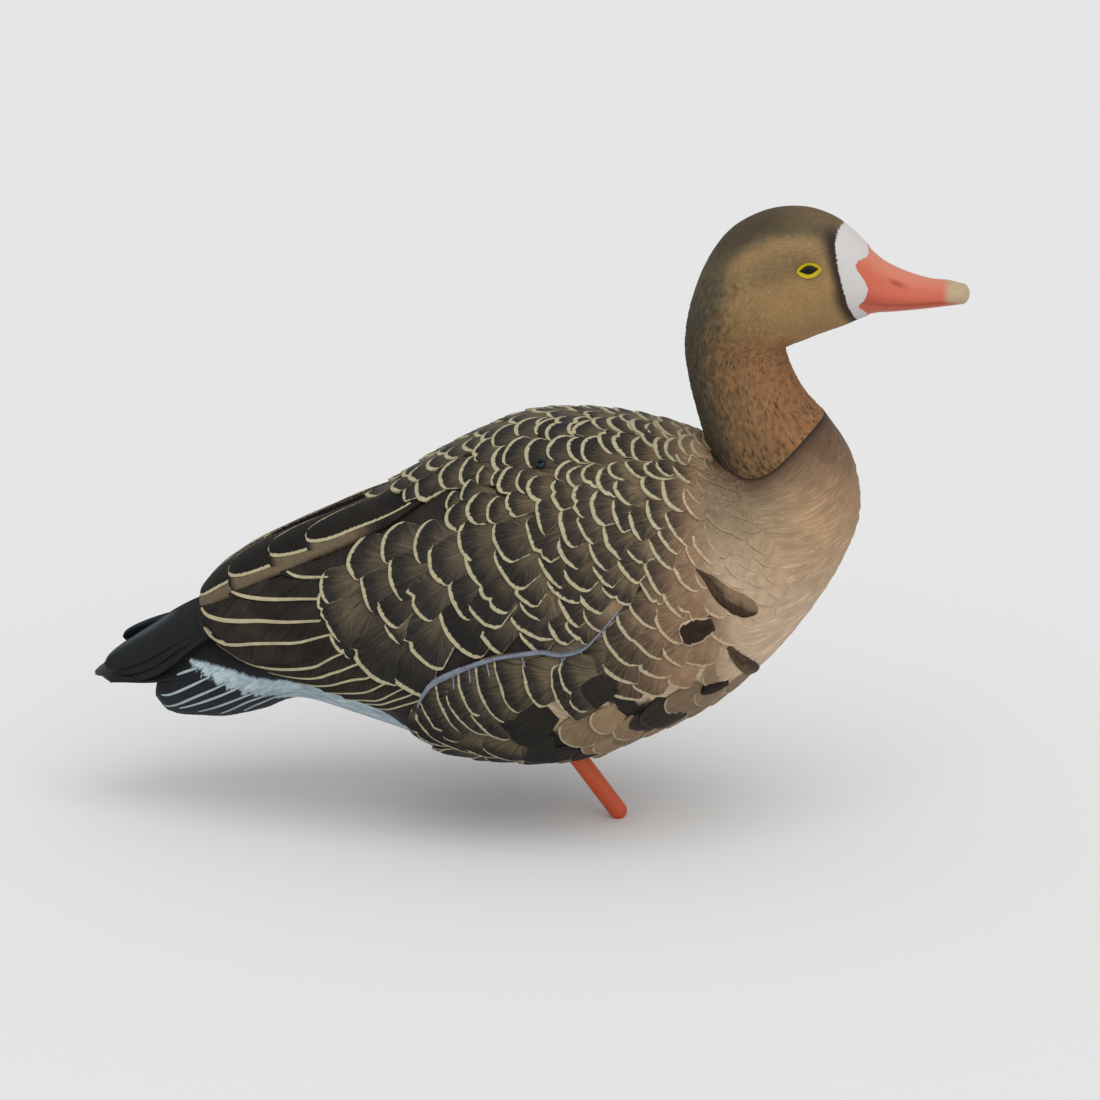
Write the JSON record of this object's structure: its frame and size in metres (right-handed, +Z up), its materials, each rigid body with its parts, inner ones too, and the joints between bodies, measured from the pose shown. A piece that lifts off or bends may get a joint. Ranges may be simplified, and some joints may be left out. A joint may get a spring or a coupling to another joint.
{
  "type": "goose decoy",
  "caption": "Full-body goose hunting decoy with layered feather relief, a separate upright head and neck, and one round leg post that a ground stake or base holds.",
  "frame": {"origin": "middle of the small flat at the lower end of the leg post, where a stake or base holds it", "axes": "+X towards the bill, +Y to the goose's left, +Z up"},
  "size_m": [0.6159, 0.2222, 0.4413],
  "materials": {
    "plumage": "moulded feathers with painted grey-brown plumage and cream fringes, satin to matte",
    "head_paint": "brown painted head and neck with a white blaze and an orange-pink bill, matte",
    "leg_orange": "smooth orange moulding, satin",
    "screw_steel": "black coated screw"
  },
  "bodies": {
    "root": {"body": "plumage", "head_and_neck": "head_paint", "leg_post": "leg_orange", "back_screw": "screw_steel"}
  },
  "joints": []
}
